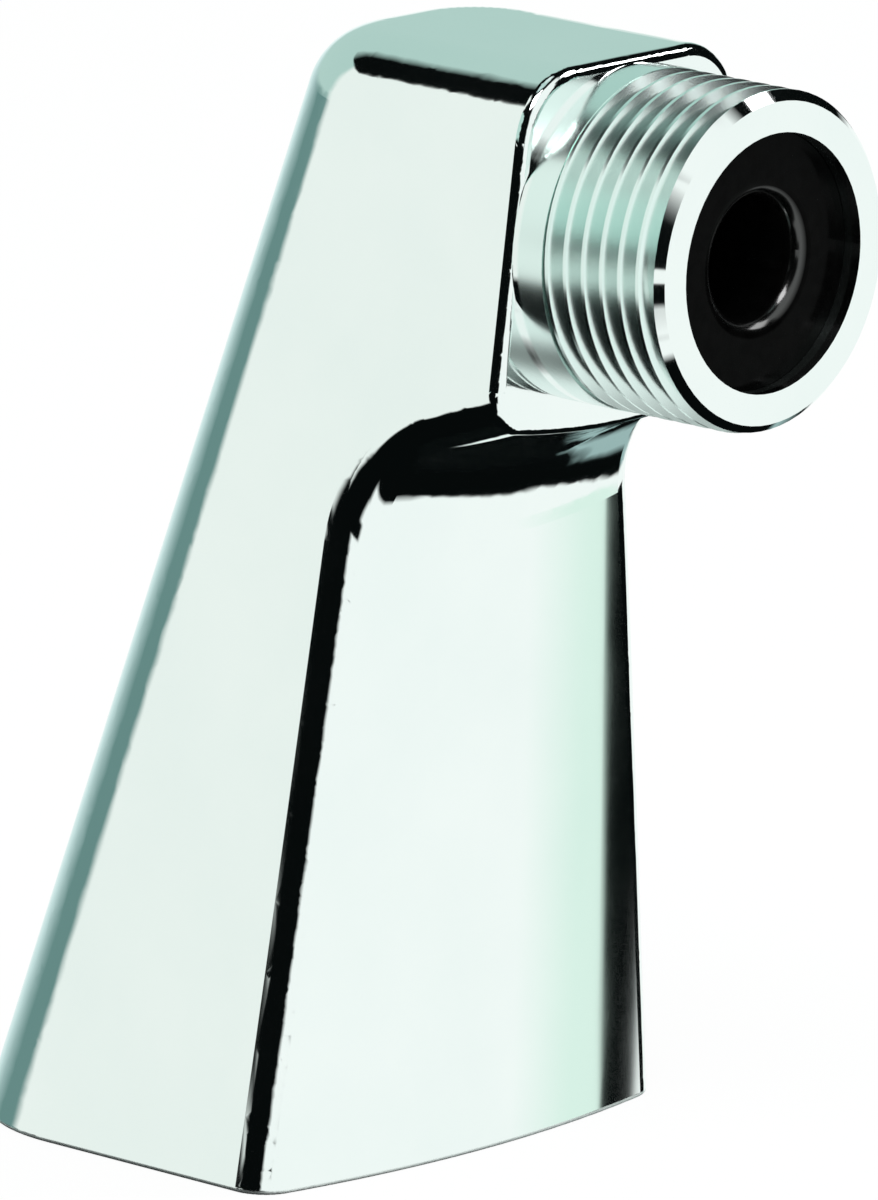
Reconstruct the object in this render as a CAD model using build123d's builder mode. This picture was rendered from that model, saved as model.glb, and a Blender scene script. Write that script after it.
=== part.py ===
"""Upright tap coupling: a cast column, its threaded outlet spigot and the flow insert in the mouth."""
import math
import os

from build123d import *

# Foot on the deck, with the inlet axis at the origin and the outlet pointing to -Y
foot_half_width = 23.0
foot_front = 19.4
foot_rear = 20.5
foot_rear_round = 14.4
foot_edge_round = 0.4
front_bow_radius = 105.0
front_lean = 1.3
front_edge_round = 3.2

# Head over the foot, narrowed by the lean of the flanks and of the rear
head_top = 88.3
crown_height = 0.58
head_front = 32.3
flank_lean = 7.4
rear_lean = 16.75
head_rear_share = 0.83
head_top_share = 0.615
head_edge_round = 0.9
chin_drop = 14.6
chin_radius = 80.0
chin_slope = 20.0
throat_radius = 9.5

# Outlet spigot with a 3/4 inch pipe thread of 14 turns to the inch
thread_major_radius = 13.22
thread_pitch = 25.4 / 14
thread_depth = 0.640327 * thread_pitch
thread_half_angle = 27.5
thread_crest = thread_pitch / 6
crest_allowance = 0.05
ridge_overlap = 0.15
spigot_length = 14.5
collar_length = 2.9
mouth_land_inset = 0.82
lead_width = 0.6

# Waterway through the casting
mouth_bore_radius = 10.0
insert_recess = 1.6
waterway_radius = 8.5
elbow_wall = 3.1780
inlet_thread_radius = 9.3155
inlet_depth = 17.0
inlet_chamfer = 0.5
core_radius = 12.0
core_forward = 2.5

# Flow insert in the mouth
insert_length = 9.0
insert_clearance = 0.05
insert_hole_radius = 4.7
insert_lip_round = 1.4

# Sizes that follow from those above
reach = 2 * foot_half_width
axis_drop = thread_major_radius + crown_height
axis_height = head_top - axis_drop
chin_height = axis_height - chin_drop
outlet_end = head_front + spigot_length
head_half_width = foot_half_width - head_top * math.tan(math.radians(flank_lean))
head_rear = foot_rear - head_top * math.tan(math.radians(rear_lean))
head_rear_round = head_rear_share * head_half_width
head_top_round = head_top_share * head_rear_round
block_half_width = foot_half_width + 1.0
bow_depth = front_bow_radius - math.sqrt(front_bow_radius**2 - block_half_width**2)
chin_rise = chin_radius - math.sqrt(chin_radius**2 - block_half_width**2)
elbow_forward = axis_height * math.tan(math.radians(rear_lean)) - foot_rear + elbow_wall + waterway_radius
mouth_land_radius = thread_major_radius - mouth_land_inset
crest_radius = thread_major_radius - crest_allowance
root_radius = thread_major_radius - thread_depth
ridge_depth = crest_radius - root_radius + ridge_overlap
ridge_half_base = thread_crest / 2 + ridge_depth * math.tan(math.radians(thread_half_angle))
lead_chamfer = crest_radius - mouth_land_radius
lead_start = spigot_length - lead_width
ridge_start = collar_length - ridge_half_base - ridge_overlap
ridge_end = lead_start + ridge_half_base + ridge_overlap
seat_depth = insert_recess + insert_length

# Planes: the side view has forward as x and up as y, the head face looks along the spigot,
# and the chin section is square to the rising underside of the head
side_view = Plane(origin=(0, 0, 0), x_dir=(0, -1, 0), z_dir=(-1, 0, 0))
head_face = Plane(origin=(0, -head_front, axis_height), x_dir=(1, 0, 0), z_dir=(0, -1, 0))
mouth = head_face.offset(spigot_length)
chin_front = Plane(origin=(0, -head_front, chin_height), x_dir=(1, 0, 0), z_dir=(0, -1, 0))
chin_section = chin_front.rotated((-chin_slope, 0, 0))

# Bowed front of the column and rounded underside of the head, rising to its front, blended by the throat
with BuildPart() as front_form:
    with BuildSketch(Plane.XY.rotated((front_lean, 0, 0)).offset(-reach)):
        with BuildLine():
            bow = ThreePointArc(
                (-block_half_width, bow_depth - foot_front),
                (0, -foot_front),
                (block_half_width, bow_depth - foot_front),
            )
            Polyline(bow @ 1, (block_half_width, reach), (-block_half_width, reach), bow @ 0)
        make_face()
    extrude(amount=head_top + 2 * reach)
    with BuildSketch(chin_section):
        with BuildLine():
            chin = ThreePointArc((-block_half_width, chin_rise), (0, 0), (block_half_width, chin_rise))
            Polyline(chin @ 1, (block_half_width, reach), (-block_half_width, reach), chin @ 0)
        make_face()
    extrude(amount=reach, both=True)
    throat_edge = (
        front_form.edges()
        .filter_by_position(Axis.Y, -head_front, 0)
        .filter_by_position(Axis.Z, 0, head_top)
        .filter_by(lambda e: abs(e.center().X) < foot_edge_round)
    )
    fillet(throat_edge, throat_radius)

# Thread ridge, which runs out of the collar and into the lead ring at the mouth
with BuildPart() as ridge:
    with BuildLine():
        helix = Helix(
            thread_pitch,
            ridge_end - ridge_start,
            crest_radius,
            center=head_face.offset(ridge_start).origin,
            direction=head_face.z_dir,
        )
    outward = (helix @ 0 - head_face.offset(ridge_start).origin).normalized()
    with BuildSketch(Plane(origin=helix @ 0, x_dir=outward, z_dir=helix % 0)):
        with BuildLine():
            Polyline(
                (0, thread_crest / 2),
                (-ridge_depth, ridge_half_base),
                (-ridge_depth, -ridge_half_base),
                (0, -thread_crest / 2),
                close=True,
            )
        make_face()
    sweep(path=helix, is_frenet=True)

# Spigot: plain collar, thread core and lead ring joined by the ridge, with the mouth turned to its chamfer
with BuildPart() as spigot:
    with BuildSketch(side_view):
        with BuildLine():
            Polyline(
                (head_front - collar_length, axis_height),
                (head_front - collar_length, axis_height + root_radius),
                (head_front, axis_height + root_radius),
                (head_front, axis_height + thread_major_radius),
                (head_front + collar_length, axis_height + thread_major_radius),
                (head_front + collar_length, axis_height + root_radius),
                (head_front + lead_start, axis_height + root_radius),
                (head_front + lead_start, axis_height + thread_major_radius),
                (outlet_end + thread_pitch, axis_height + thread_major_radius),
                (outlet_end + thread_pitch, axis_height),
                close=True,
            )
        make_face()
    revolve(axis=Axis(head_face.origin, head_face.z_dir))
    add(ridge.part)
    with BuildSketch(side_view):
        with BuildLine():
            Polyline(
                (outlet_end, axis_height),
                (outlet_end, axis_height + mouth_land_radius),
                (outlet_end - 2 * lead_chamfer, axis_height + mouth_land_radius + 2 * lead_chamfer),
                (outlet_end + 2 * thread_pitch, axis_height + mouth_land_radius + 2 * lead_chamfer),
                (outlet_end + 2 * thread_pitch, axis_height),
                close=True,
            )
        make_face()
    revolve(axis=Axis(head_face.origin, head_face.z_dir), mode=Mode.SUBTRACT)

with BuildPart() as body:
    # Leaning flanks and rear, with rear corners that tighten towards the top
    with BuildSketch(Plane.XY):
        with Locations((0, (foot_rear - head_front) / 2)):
            Rectangle(2 * foot_half_width, foot_rear + head_front)
        fillet(vertices().group_by(Axis.Y)[-1], foot_rear_round)
    with BuildSketch(Plane.XY.offset(head_top)):
        with Locations((0, (head_rear - head_front) / 2)):
            Rectangle(2 * head_half_width, head_rear + head_front)
        fillet(vertices().group_by(Axis.Y)[-1], head_rear_round)
    loft(ruled=True)
    top_edges = body.faces().sort_by(Axis.Z)[-1].edges()
    fillet(top_edges.filter_by(lambda e: e.center().Y > foot_edge_round - head_front), head_top_round)

    # Column front, throat and underside of the head, with soft edges to the flanks
    add(front_form.part, mode=Mode.INTERSECT)
    flanks = body.faces().filter_by(lambda f: abs(f.normal_at().X) > 0.9)
    front_edges = (
        flanks.edges()
        .filter_by_position(Axis.Y, -head_front, -elbow_forward, (False, True))
        .filter_by_position(Axis.Z, 0, axis_height, (False, True))
    )
    fillet(front_edges, front_edge_round)
    fillet(body.faces().sort_by(Axis.Y)[0].edges(), head_edge_round)
    fillet(body.faces().sort_by(Axis.Z)[0].edges(), foot_edge_round)

    add(spigot.part)

    # Waterway: mouth with the insert seat, elbow, tapered core and inlet
    with BuildSketch(mouth):
        Circle(mouth_bore_radius)
    extrude(amount=-seat_depth, mode=Mode.SUBTRACT)
    with BuildSketch(mouth):
        Circle(waterway_radius)
    extrude(amount=elbow_forward - outlet_end, mode=Mode.SUBTRACT)
    with Locations((0, -elbow_forward, axis_height)):
        Sphere(waterway_radius, mode=Mode.SUBTRACT)
    with BuildSketch(Plane.XY.offset(inlet_depth)):
        with Locations((0, -core_forward)):
            Circle(core_radius)
    with BuildSketch(Plane.XY.offset(axis_height)):
        with Locations((0, -elbow_forward)):
            Circle(waterway_radius)
    loft(mode=Mode.SUBTRACT)
    with BuildSketch(Plane.XY):
        Circle(inlet_thread_radius)
    extrude(amount=inlet_depth, mode=Mode.SUBTRACT)
    inlet_rim = body.edges().filter_by(GeomType.CIRCLE).filter_by_position(Axis.Z, -0.01, 0.01)
    chamfer(inlet_rim, inlet_chamfer)
body.part.label = "body"

# Ring pressed into the mouth, seated on the step of the waterway
with BuildPart() as insert:
    with BuildSketch(mouth.offset(-seat_depth)):
        Circle(mouth_bore_radius - insert_clearance)
        Circle(insert_hole_radius, mode=Mode.SUBTRACT)
    extrude(amount=insert_length)
    lip = insert.faces().sort_by(Axis.Y)[0].inner_wires().edges()
    fillet(lip, insert_lip_round)
insert.part.label = "flow_insert"

os.makedirs("parts", exist_ok=True)
export_step(body.part, "parts/body.step")
export_step(insert.part, "parts/flow_insert.step")
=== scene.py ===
"""Upright tap coupling on a pale floor: a chromed casting with a threaded outlet and a black ring in it."""
import math

import bpy
from mathutils import Matrix, Vector

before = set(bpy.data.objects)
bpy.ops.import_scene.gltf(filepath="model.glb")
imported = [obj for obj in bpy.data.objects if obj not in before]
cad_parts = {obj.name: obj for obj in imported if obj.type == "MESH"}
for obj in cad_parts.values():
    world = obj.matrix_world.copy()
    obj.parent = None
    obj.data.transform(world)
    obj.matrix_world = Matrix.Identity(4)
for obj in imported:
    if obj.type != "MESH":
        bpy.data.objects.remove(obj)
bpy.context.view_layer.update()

scene = bpy.context.scene

# Places on the part: the turned thread along the outlet, the rim of the foot and the lip of the ring's hole
MM = 0.001
THREAD_FROM, THREAD_TO = 32.6 * MM, 46.0 * MM
FOOT_RIM = 0.3 * MM
OUTLET_HEIGHT = 74.5 * MM
LIP_FROM, LIP_TO = 4.72 * MM, 5.3 * MM

# Finishes
PLATING_DARK = (0.90, 0.945, 0.935)
PLATING_LIGHT = (0.93, 0.965, 0.955)
PLATING_ROUGHNESS = (0.035, 0.06)
THREAD_TINT = (0.82, 0.94, 0.91)
THREAD_ROUGHNESS = 0.15
RIM_ROUGHNESS = 0.5
RUBBER_DARK = (0.0008, 0.0008, 0.0008)
RUBBER_LIGHT = (0.002, 0.002, 0.002)
RUBBER_SHINE, LIP_SHINE = 0.02, 1.0

# Camera fitted to the photograph: pixels, degrees, and metres from the part
PHOTO_WIDTH = 878
PIXELS_PER_MM = 12.956
AZIMUTH, ELEVATION, ROLL = -48.009, 13.297, 1.026
DISTANCE = 1.2
LOOK_AT = Vector((0, -10, 44)) * MM
RIGHT_PIXELS, DOWN_PIXELS = 33.756, 22.935
SENSOR = 36.0

# Floor and lamps, in metres and watts
FLOOR_HALF = 4.0
FLOOR_GLOW = 0.93
FLOOR_COLOUR = (0.92, 0.93, 0.925, 1.0)
LAMP_TARGET = Vector((0, -10, 45)) * MM
LAMP_SIZE = 0.5
LAMPS = {"lamp_key": ((-0.5, -0.5, 1.1), 6.0), "lamp_fill": ((0.8, -0.6, 0.9), 3.0)}

# Colours of the studio that the plating mirrors
BLACK = (0.002, 0.003, 0.003)
LEFT = (0.865, 0.925, 0.89)
FRONT = (0.935, 0.985, 0.965)
MINT = (0.74, 0.92, 0.83)
PALE = (0.86, 0.97, 0.96)
HAZE = (0.60, 0.78, 0.77)
TEAL = (0.33, 0.48, 0.47)
DEEP = (0.14, 0.265, 0.25)
ROOF = (0.45, 0.64, 0.59)
GROOVE = (0.50, 0.72, 0.66)
AMBIENT = (0.95, 1.0, 0.99, 1.0)
AMBIENT_STRENGTH = 0.8
WHITE = (1.0, 1.0, 1.0, 1.0)

# The bright floor's far edge and the dark flag lean: degrees of bearing for each degree of height
FLOOR_SLANT = 0.85
SLANT_DEPTH = 30
FLAG_LEAN = 1.15
FLAG_SOFT = 0.25

# Sockets of the colour mix node
MIX_FACTOR, MIX_UNDER, MIX_OVER, MIX_RESULT = 0, 6, 7, 2


# Node helpers
def new_material(name):
    mat = bpy.data.materials.new(name)
    mat.use_nodes = True
    tree = mat.node_tree
    tree.nodes.clear()
    out = tree.nodes.new("ShaderNodeOutputMaterial")
    return mat, tree, out


def node(tree, kind, **values):
    n = tree.nodes.new(kind)
    for key, value in values.items():
        if key in n.inputs:
            n.inputs[key].default_value = value
        else:
            setattr(n, key, value)
    return n


def ramp(tree, stops):
    n = tree.nodes.new("ShaderNodeValToRGB")
    while len(n.color_ramp.elements) < len(stops):
        n.color_ramp.elements.new(0.5)
    for element, (place, colour) in zip(n.color_ramp.elements, stops):
        element.position = place
        element.color = (*colour, 1.0)
    return n


def between(tree, value, low, high, to_low, to_high):
    n = node(tree, "ShaderNodeMapRange")
    for key, number in (("From Min", low), ("From Max", high), ("To Min", to_low), ("To Max", to_high)):
        n.inputs[key].default_value = number
    tree.links.new(value, n.inputs["Value"])
    return n.outputs["Result"]


def maths(tree, operation, *values):
    n = node(tree, "ShaderNodeMath", operation=operation)
    for socket, value in zip(n.inputs, values):
        if isinstance(value, float):
            socket.default_value = value
        else:
            tree.links.new(value, socket)
    return n.outputs[0]


def blend(tree, mask, under, over):
    n = node(tree, "ShaderNodeMix", data_type="RGBA")
    tree.links.new(mask, n.inputs[MIX_FACTOR])
    tree.links.new(under, n.inputs[MIX_UNDER])
    if isinstance(over, tuple):
        n.inputs[MIX_OVER].default_value = (*over, 1.0)
    else:
        tree.links.new(over, n.inputs[MIX_OVER])
    return n.outputs[MIX_RESULT]


def blend_shaders(tree, mask, under, over):
    n = node(tree, "ShaderNodeMixShader")
    for socket, value in zip(n.inputs, (mask, under, over)):
        tree.links.new(value, socket)
    return n.outputs["Shader"]


# Polished plating: a nearly clean mirror with faint haze, duller on the turned thread and at the foot's rim
def chrome_material():
    mat, tree, out = new_material("chrome_plating")
    link = tree.links.new
    where = node(tree, "ShaderNodeNewGeometry")
    haze = node(tree, "ShaderNodeTexNoise", Scale=70.0, Detail=4.0, Roughness=0.55)
    link(where.outputs["Position"], haze.inputs["Vector"])
    clean = ramp(tree, ((0.35, PLATING_DARK), (0.65, PLATING_LIGHT)))
    link(haze.outputs["Fac"], clean.inputs["Fac"])
    gloss = between(tree, haze.outputs["Fac"], 0.3, 0.7, *PLATING_ROUGHNESS)
    axis = node(tree, "ShaderNodeSeparateXYZ")
    link(where.outputs["Position"], axis.inputs["Vector"])
    past_head = between(tree, axis.outputs["Y"], -THREAD_FROM, -THREAD_FROM - 0.3 * MM, 0.0, 1.0)
    past_mouth = between(tree, axis.outputs["Y"], -THREAD_TO, -THREAD_TO - 0.06 * MM, 0.0, 1.0)
    turned = maths(tree, "SUBTRACT", past_head, past_mouth)
    dull = maths(tree, "MULTIPLY_ADD", turned, THREAD_ROUGHNESS, gloss)
    rim = between(tree, axis.outputs["Z"], FOOT_RIM, FOOT_RIM + 0.15 * MM, RIM_ROUGHNESS, 0.0)
    metal = node(tree, "ShaderNodeBsdfPrincipled", Metallic=1.0)
    link(blend(tree, turned, clean.outputs["Color"], THREAD_TINT), metal.inputs["Base Color"])
    link(maths(tree, "ADD", dull, rim), metal.inputs["Roughness"])
    link(metal.outputs["BSDF"], out.inputs["Surface"])
    return mat


# Black moulded ring: smooth rubber with a fine grain, polished on the lip of its hole
def rubber_material():
    mat, tree, out = new_material("black_rubber")
    link = tree.links.new
    place = node(tree, "ShaderNodeTexCoord")
    grain = node(tree, "ShaderNodeTexNoise", Scale=900.0, Detail=3.0)
    link(place.outputs["Object"], grain.inputs["Vector"])
    tint = ramp(tree, ((0.3, RUBBER_DARK), (0.7, RUBBER_LIGHT)))
    link(grain.outputs["Fac"], tint.inputs["Fac"])
    where = node(tree, "ShaderNodeNewGeometry")
    flat = node(tree, "ShaderNodeVectorMath", operation="MULTIPLY")
    flat.inputs[1].default_value = (1.0, 0.0, 1.0)
    link(where.outputs["Position"], flat.inputs[0])
    radius = node(tree, "ShaderNodeVectorMath", operation="DISTANCE")
    radius.inputs[1].default_value = (0.0, 0.0, OUTLET_HEIGHT)
    link(flat.outputs["Vector"], radius.inputs[0])
    inner = between(tree, radius.outputs["Value"], LIP_FROM, LIP_FROM + 0.15 * MM, RUBBER_SHINE, LIP_SHINE)
    outer = between(tree, radius.outputs["Value"], LIP_TO, LIP_TO + 0.4 * MM, LIP_SHINE, RUBBER_SHINE)
    skin = node(tree, "ShaderNodeBsdfPrincipled", Roughness=0.16)
    link(maths(tree, "MULTIPLY", inner, outer), skin.inputs["Specular IOR Level"])
    link(tint.outputs["Color"], skin.inputs["Base Color"])
    link(skin.outputs["BSDF"], out.inputs["Surface"])
    return mat


# Floor finish: matte for the part's shadow, and mostly white light to the camera
def floor_material():
    mat, tree, out = new_material("floor_white")
    path = node(tree, "ShaderNodeLightPath")
    share = maths(tree, "MULTIPLY", path.outputs["Is Camera Ray"], FLOOR_GLOW)
    matte = node(tree, "ShaderNodeBsdfDiffuse", Color=FLOOR_COLOUR)
    glow = node(tree, "ShaderNodeEmission", Color=WHITE, Strength=1.0)
    shown = blend_shaders(tree, share, matte.outputs["BSDF"], glow.outputs["Emission"])
    tree.links.new(shown, out.inputs["Surface"])
    return mat


finishes = {"body": chrome_material(), "flow_insert": rubber_material()}
for name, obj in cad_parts.items():
    obj.data.materials.clear()
    obj.data.materials.append(finishes[name])

# Camera
azimuth, elevation, roll = map(math.radians, (AZIMUTH, ELEVATION, ROLL))
level_back = Vector((math.sin(azimuth), -math.cos(azimuth), 0)) * math.cos(elevation)
back = level_back + Vector((0, 0, math.sin(elevation)))
level = Vector((math.cos(azimuth), math.sin(azimuth), 0))
upward = back.cross(level)
right = level * math.cos(roll) + upward * math.sin(roll)
up = upward * math.cos(roll) - level * math.sin(roll)
centre = LOOK_AT + (right * RIGHT_PIXELS - up * DOWN_PIXELS) / PIXELS_PER_MM * MM
camera = bpy.data.objects.new("camera", bpy.data.cameras.new("camera"))
camera.data.sensor_fit = "HORIZONTAL"
camera.data.sensor_width = SENSOR
camera.data.lens = SENSOR * PIXELS_PER_MM * DISTANCE / MM / PHOTO_WIDTH
camera.data.clip_start = 0.05
camera.data.clip_end = 50.0
place = Matrix((right, up, back)).transposed().to_4x4()
place.translation = centre + back * DISTANCE
camera.matrix_world = place
scene.collection.objects.link(camera)
scene.camera = camera

# Floor, left out of the mirrored studio
corners = [(x * FLOOR_HALF, y * FLOOR_HALF, 0) for x, y in ((-1, -1), (1, -1), (1, 1), (-1, 1))]
floor_mesh = bpy.data.meshes.new("floor")
floor_mesh.from_pydata(corners, [], [(0, 1, 2, 3)])
floor_mesh.materials.append(floor_material())
floor = bpy.data.objects.new("floor", floor_mesh)
scene.collection.objects.link(floor)
floor.visible_glossy = False

# Studio round the part: bright panels left and in front, dark flags between them and a cool grey back
world = bpy.data.worlds.new("studio")
scene.world = world
world.use_nodes = True
tree = world.node_tree
tree.nodes.clear()
link = tree.links.new
out = tree.nodes.new("ShaderNodeOutputWorld")
toward = node(tree, "ShaderNodeTexCoord")
unit = node(tree, "ShaderNodeVectorMath", operation="NORMALIZE")
link(toward.outputs["Generated"], unit.inputs[0])
sides = node(tree, "ShaderNodeSeparateXYZ")
link(unit.outputs["Vector"], sides.inputs["Vector"])
bearing = maths(tree, "ARCTAN2", sides.outputs["Y"], sides.outputs["X"])
height = maths(tree, "ARCSINE", sides.outputs["Z"])
turn = between(tree, bearing, -math.pi, math.pi, 0.0, 1.0)
slide = FLOOR_SLANT * SLANT_DEPTH / 360
slant = between(tree, height, math.radians(-2 * SLANT_DEPTH), 0.0, slide, -slide)
slid = maths(tree, "ADD", turn, slant)
leaned = maths(tree, "MULTIPLY_ADD", height, FLAG_LEAN, bearing)


# One turn of colour round the horizon, from bearings in degrees
def ring(stops, bearings=turn):
    n = ramp(tree, [((angle + 180) / 360, colour) for angle, colour in stops])
    link(bearings, n.inputs["Fac"])
    return n.outputs["Color"]


# Soft step in an angle at a place in degrees, from 0 to 1 or back
def step(angle, degrees, soft, to_low=0.0, to_high=1.0):
    return between(tree, angle, math.radians(degrees - soft), math.radians(degrees + soft), to_low, to_high)


# Dark flag that cuts a ring between two leaning bearings
def flagged(first, last, panels):
    start = step(leaned, first, FLAG_SOFT)
    stop = step(leaned, last, FLAG_SOFT, 1.0, 0.0)
    return blend(tree, maths(tree, "MULTIPLY", start, stop), panels, BLACK)


# Rings from the ground to the ceiling
panel = ((-38, FRONT), (-30, MINT), (-25, MINT), (-22, FRONT), (42, FRONT))
rear = ((46, PALE), (63, HAZE), (78, TEAL), (90, DEEP), (106, DEEP), (113, LEFT))
roof = ((-126, BLACK), (-118, FRONT), (-64, FRONT), (-60, BLACK), (22, BLACK), (34, ROOF), (106, ROOF))
left_panel = ((114, LEFT), (143.5, LEFT))
ground = ring(((-180, BLACK), (180, BLACK)))
floor_deep = ring(((-130, BLACK), (-118, FRONT), (-18.5, FRONT), (-15, BLACK)), slid)
floor_edge = ((-138, BLACK), (-128, FRONT), (-19.5, FRONT), (-17, BLACK))
floor_far = ring(floor_edge + ((-3, BLACK), (4, TEAL), (20, TEAL), (28, BLACK)))
low = ring(((-127, BLACK), (-120, FRONT)) + panel + rear + ((158, LEFT), (165, BLACK)))
knee = ring(((-150, BLACK), (-142, FRONT)) + panel + rear + ((151, LEFT), (157, BLACK)))
eye_level = ring(((-128, BLACK), (-122, FRONT)) + panel + rear + ((143.5, LEFT), (147, BLACK)))
high = ring(roof + left_panel + ((147, BLACK),))
higher = ring(roof + left_panel + ((147, GROOVE), (172, GROOVE), (178, BLACK)))
upper_front = ((-125, BLACK), (-112, FRONT), (-60, FRONT), (-45, BLACK), (22, BLACK), (34, ROOF), (80, ROOF))
upper = ring(upper_front + ((95, BLACK), (122, BLACK), (126, LEFT), (143.5, LEFT), (147, BLACK)))
ceiling = ring(((-180, HAZE), (-90, ROOF), (0, PALE), (90, ROOF), (180, HAZE)))

# Each layer starts at a height in degrees, with a soft edge
layers = (
    (-48, 2, floor_deep),
    (-37, 1.5, floor_far),
    (-21.5, 1.5, flagged(-44, -39.4, low)),
    (-15.4, 0.1, flagged(-44, -14, low)),
    (-10.5, 0.4, flagged(-44, -14, knee)),
    (-3.5, 0.5, flagged(-58, 20, eye_level)),
    (3, 3, high),
    (7, 1.5, higher),
    (38, 0.7, upper),
    (58, 2, ground),
    (74, 2, ceiling),
)
sight = ground
for degrees, soft, layer in layers:
    sight = blend(tree, step(height, degrees, soft), sight, layer)

# Mirrors see the studio, the camera sees white, and everything else is lit evenly
path = node(tree, "ShaderNodeLightPath")
studio = node(tree, "ShaderNodeBackground", Strength=1.0)
link(sight, studio.inputs["Color"])
plain = node(tree, "ShaderNodeBackground", Color=AMBIENT, Strength=AMBIENT_STRENGTH)
bright = node(tree, "ShaderNodeBackground", Color=WHITE, Strength=1.0)
lit = blend_shaders(tree, path.outputs["Is Glossy Ray"], plain.outputs["Background"], studio.outputs["Background"])
shown = blend_shaders(tree, path.outputs["Is Camera Ray"], lit, bright.outputs["Background"])
link(shown, out.inputs["Surface"])

# Soft lamps
for name, (where, power) in LAMPS.items():
    data = bpy.data.lights.new(name, "AREA")
    data.size = LAMP_SIZE
    data.energy = power
    obj = bpy.data.objects.new(name, data)
    obj.location = Vector(where)
    obj.rotation_euler = (LAMP_TARGET - obj.location).to_track_quat("-Z", "Y").to_euler()
    scene.collection.objects.link(obj)

scene.view_settings.view_transform = "Standard"
